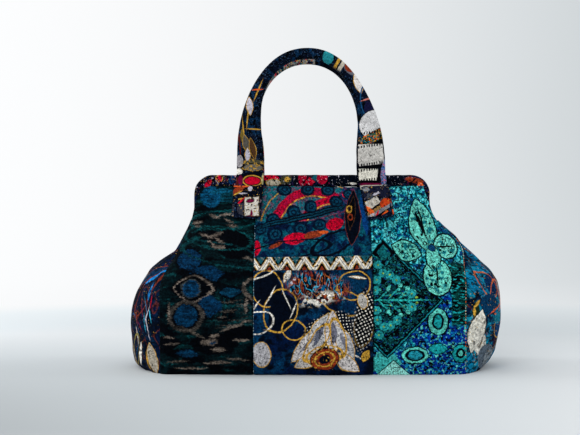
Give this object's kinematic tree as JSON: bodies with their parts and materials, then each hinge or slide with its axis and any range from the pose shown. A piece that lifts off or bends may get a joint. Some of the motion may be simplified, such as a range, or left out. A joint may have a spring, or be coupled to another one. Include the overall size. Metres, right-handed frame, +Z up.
{
  "type": "carpet bag",
  "caption": "Frame-top carpet bag with a flat base, bowed side gussets, patchwork velvet panels, a front slip pocket and padded arched handles.",
  "frame": {"origin": "centre of the base, on the surface the bag stands on", "axes": "+X to the right along the bag's width seen from the front, +Y from front to rear, +Z up"},
  "size_m": [0.4826, 0.1986, 0.4088],
  "materials": {
    "base_cloth": "woven cotton, dull",
    "board": "pressed board",
    "lining_cloth": "cotton twill, dull",
    "gusset_velvet": "printed velvet",
    "ikat_velvet": "ikat velvet",
    "petrol_velvet": "printed velvet",
    "damask_velvet": "damask velvet",
    "pocket_velvet": "printed velvet",
    "braid": "braid pattern velvet",
    "rivet_steel": "nickel plated",
    "frame_steel": "zinc plated, dull",
    "casing_velvet": "printed velvet",
    "handle_velvet": "printed velvet",
    "tab_velvet": "printed velvet"
  },
  "bodies": {
    "bag": {"base_panel": "base_cloth", "base_board": "board", "lining": "lining_cloth", "front_facing": "lining_cloth", "rear_facing": "lining_cloth", "left_gusset": "gusset_velvet", "right_gusset": "gusset_velvet", "front_left_patch": "ikat_velvet", "front_centre_patch": "petrol_velvet", "front_right_patch": "damask_velvet", "rear_left_patch": "damask_velvet", "rear_centre_patch": "petrol_velvet", "rear_right_patch": "ikat_velvet", "front_pocket": "pocket_velvet", "front_pocket_band": "braid", "left_hinge_rivet": "rivet_steel", "right_hinge_rivet": "rivet_steel"},
    "front_frame": {"front_frame_bar": "frame_steel", "front_casing": "casing_velvet", "front_handle": "handle_velvet", "front_left_tab": "tab_velvet", "front_right_tab": "tab_velvet"},
    "rear_frame": {"rear_frame_bar": "frame_steel", "rear_casing": "casing_velvet", "rear_handle": "handle_velvet", "rear_left_tab": "tab_velvet", "rear_right_tab": "tab_velvet"}
  },
  "joints": [
    {"name": "front_frame_swing", "type": "hinge", "parent": "bag", "child": "front_frame", "pos_m": [0, 0, 0.181], "axis": [1, 0, 0], "range_deg": [0, 70], "deforming": ["front_left_patch", "front_centre_patch", "front_right_patch", "front_facing", "lining"]},
    {"name": "rear_frame_swing", "type": "hinge", "parent": "bag", "child": "rear_frame", "pos_m": [0, 0, 0.181], "axis": [-1, 0, 0], "range_deg": [0, 70], "deforming": ["rear_left_patch", "rear_centre_patch", "rear_right_patch", "rear_facing", "lining"]}
  ]
}
